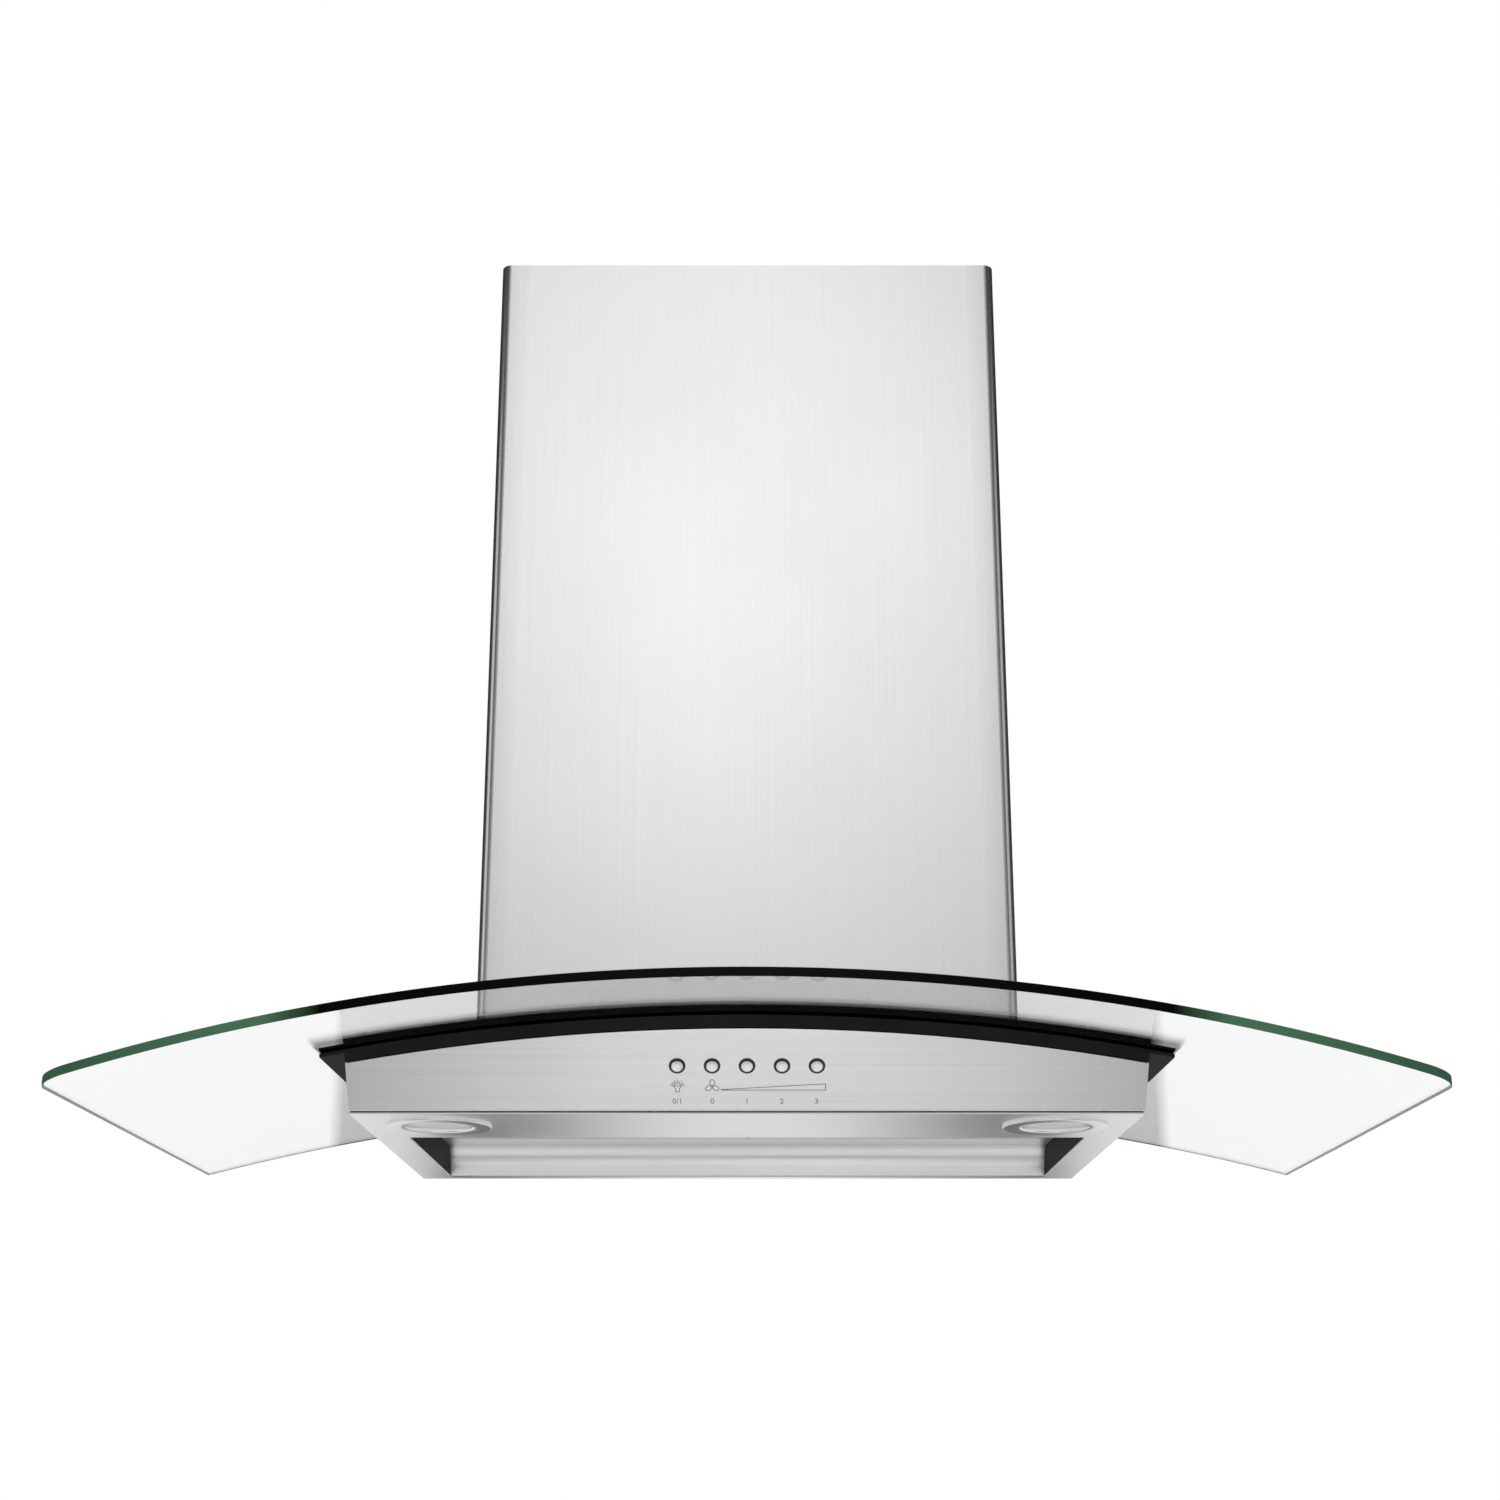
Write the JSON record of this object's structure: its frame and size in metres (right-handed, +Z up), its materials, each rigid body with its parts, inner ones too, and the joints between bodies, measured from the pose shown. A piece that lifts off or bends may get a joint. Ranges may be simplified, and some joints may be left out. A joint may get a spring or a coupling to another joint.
{
  "type": "curved glass range hood",
  "caption": "Wall-hung chimney range hood with a bent glass canopy, a leaning push-button panel, grease filters, lamps and a ducted blower.",
  "frame": {"origin": "centre of the four wall screws, on the wall plane, 175 mm above the underside of the body", "axes": "+X to the hood's right as seen from the room, +Y into the wall, +Z up; the front faces -Y"},
  "size_m": [0.9, 0.5, 0.6938],
  "materials": {
    "glass": "clear tempered, polished edge",
    "foam": "black foam tape",
    "black_steel": "satin black",
    "stainless_steel": "brushed along X",
    "galvanised_steel": "zinc plated sheet",
    "aluminium": "satin",
    "filter_mesh": "layered expanded mesh",
    "spring_steel": "bright spring steel",
    "lens": "frosted",
    "button_metal": "satin nickel",
    "black_plastic": "fine matt",
    "circuit_board": "solder mask",
    "motor_black": "black enamel",
    "fastener_steel": "zinc plated"
  },
  "bodies": {
    "hood": {"glass_canopy": "glass", "glass_gasket": "foam", "glass_seat_frame": "black_steel", "front_panel": "stainless_steel", "body_side_left": "stainless_steel", "body_side_right": "stainless_steel", "bottom_pan": "stainless_steel", "intake_liner": "stainless_steel", "chimney_lower": "stainless_steel", "lamp_ring_left": "stainless_steel", "lamp_ring_right": "stainless_steel", "back_panel": "galvanised_steel", "blower_deck": "galvanised_steel", "blower_casing": "galvanised_steel", "blower_scroll": "galvanised_steel", "glass_clamp_left": "galvanised_steel", "glass_clamp_right": "galvanised_steel", "motor_bracket": "galvanised_steel", "lower_cover_bracket": "galvanised_steel", "junction_box": "galvanised_steel", "junction_cover": "galvanised_steel", "capacitor_clip": "galvanised_steel", "inlet_ring_left": "galvanised_steel", "inlet_ring_right": "galvanised_steel", "duct_collar": "galvanised_steel", "lamp_module_left": "aluminium", "lamp_module_right": "aluminium", "motor_capacitor": "aluminium", "filter_clip_left": "spring_steel", "filter_clip_right": "spring_steel", "button_spring_light": "spring_steel", "button_spring_off": "spring_steel", "button_spring_low": "spring_steel", "button_spring_medium": "spring_steel", "button_spring_high": "spring_steel", "lamp_lens_left": "lens", "lamp_lens_right": "lens", "button_guide": "black_plastic", "tact_switches": "black_plastic", "cable_gland": "black_plastic", "lamp_driver": "black_plastic", "switch_board": "circuit_board", "blower_motor": "motor_black", "glass_clamp_screws": "fastener_steel", "sheet_screws": "fastener_steel"},
    "upper_cover": {"chimney_upper": "stainless_steel", "ceiling_bracket": "galvanised_steel"},
    "rotor": {"impeller": "aluminium", "motor_shaft": "fastener_steel"},
    "front_damper": {"damper_flap_front": "galvanised_steel"},
    "rear_damper": {"damper_flap_rear": "galvanised_steel"},
    "left_filter": {"filter_frame_left": "aluminium", "filter_mesh_left": "filter_mesh"},
    "right_filter": {"filter_frame_right": "aluminium", "filter_mesh_right": "filter_mesh"},
    "light_button": {"button_light": "button_metal"},
    "off_button": {"button_off": "button_metal"},
    "low_button": {"button_low": "button_metal"},
    "medium_button": {"button_medium": "button_metal"},
    "high_button": {"button_high": "button_metal"}
  },
  "joints": [
    {"name": "cover_slide", "type": "slide", "parent": "hood", "child": "upper_cover", "axis": [0, 0, 1], "range_m": [0, 0.27]},
    {"name": "rotor_spin", "type": "hinge", "parent": "hood", "child": "rotor", "pos_m": [0, -0.122, -0.015], "axis": [1, 0, 0], "continuous": true},
    {"name": "front_damper_swing", "type": "hinge", "parent": "hood", "child": "front_damper", "pos_m": [0, -0.17, 0.138], "axis": [-1, 0, 0], "range_deg": [0, 80]},
    {"name": "rear_damper_swing", "type": "hinge", "parent": "hood", "child": "rear_damper", "pos_m": [0, -0.16, 0.138], "axis": [1, 0, 0], "range_deg": [0, 80]},
    {"name": "left_filter_swing", "type": "hinge", "parent": "hood", "child": "left_filter", "pos_m": [0, -0.0795, -0.1505], "axis": [1, 0, 0], "range_deg": [0, 50], "deforming": ["filter_clip_left"]},
    {"name": "right_filter_swing", "type": "hinge", "parent": "hood", "child": "right_filter", "pos_m": [0, -0.0795, -0.1505], "axis": [1, 0, 0], "range_deg": [0, 50], "deforming": ["filter_clip_right"]},
    {"name": "light_button_press", "type": "slide", "parent": "hood", "child": "light_button", "axis": [0, 0.8039, 0.5948], "range_m": [0, 0.0018], "stiffness_N_per_m": 400, "springref_m": -0.001, "deforming": ["button_spring_light"]},
    {"name": "off_button_press", "type": "slide", "parent": "hood", "child": "off_button", "axis": [0, 0.8039, 0.5948], "range_m": [0, 0.0018], "stiffness_N_per_m": 400, "springref_m": -0.001, "deforming": ["button_spring_off"]},
    {"name": "low_button_press", "type": "slide", "parent": "hood", "child": "low_button", "axis": [0, 0.8039, 0.5948], "range_m": [0, 0.0018], "stiffness_N_per_m": 400, "springref_m": -0.001, "deforming": ["button_spring_low"]},
    {"name": "medium_button_press", "type": "slide", "parent": "hood", "child": "medium_button", "axis": [0, 0.8039, 0.5948], "range_m": [0, 0.0018], "stiffness_N_per_m": 400, "springref_m": -0.001, "deforming": ["button_spring_medium"]},
    {"name": "high_button_press", "type": "slide", "parent": "hood", "child": "high_button", "axis": [0, 0.8039, 0.5948], "range_m": [0, 0.0018], "stiffness_N_per_m": 400, "springref_m": -0.001, "deforming": ["button_spring_high"]}
  ]
}
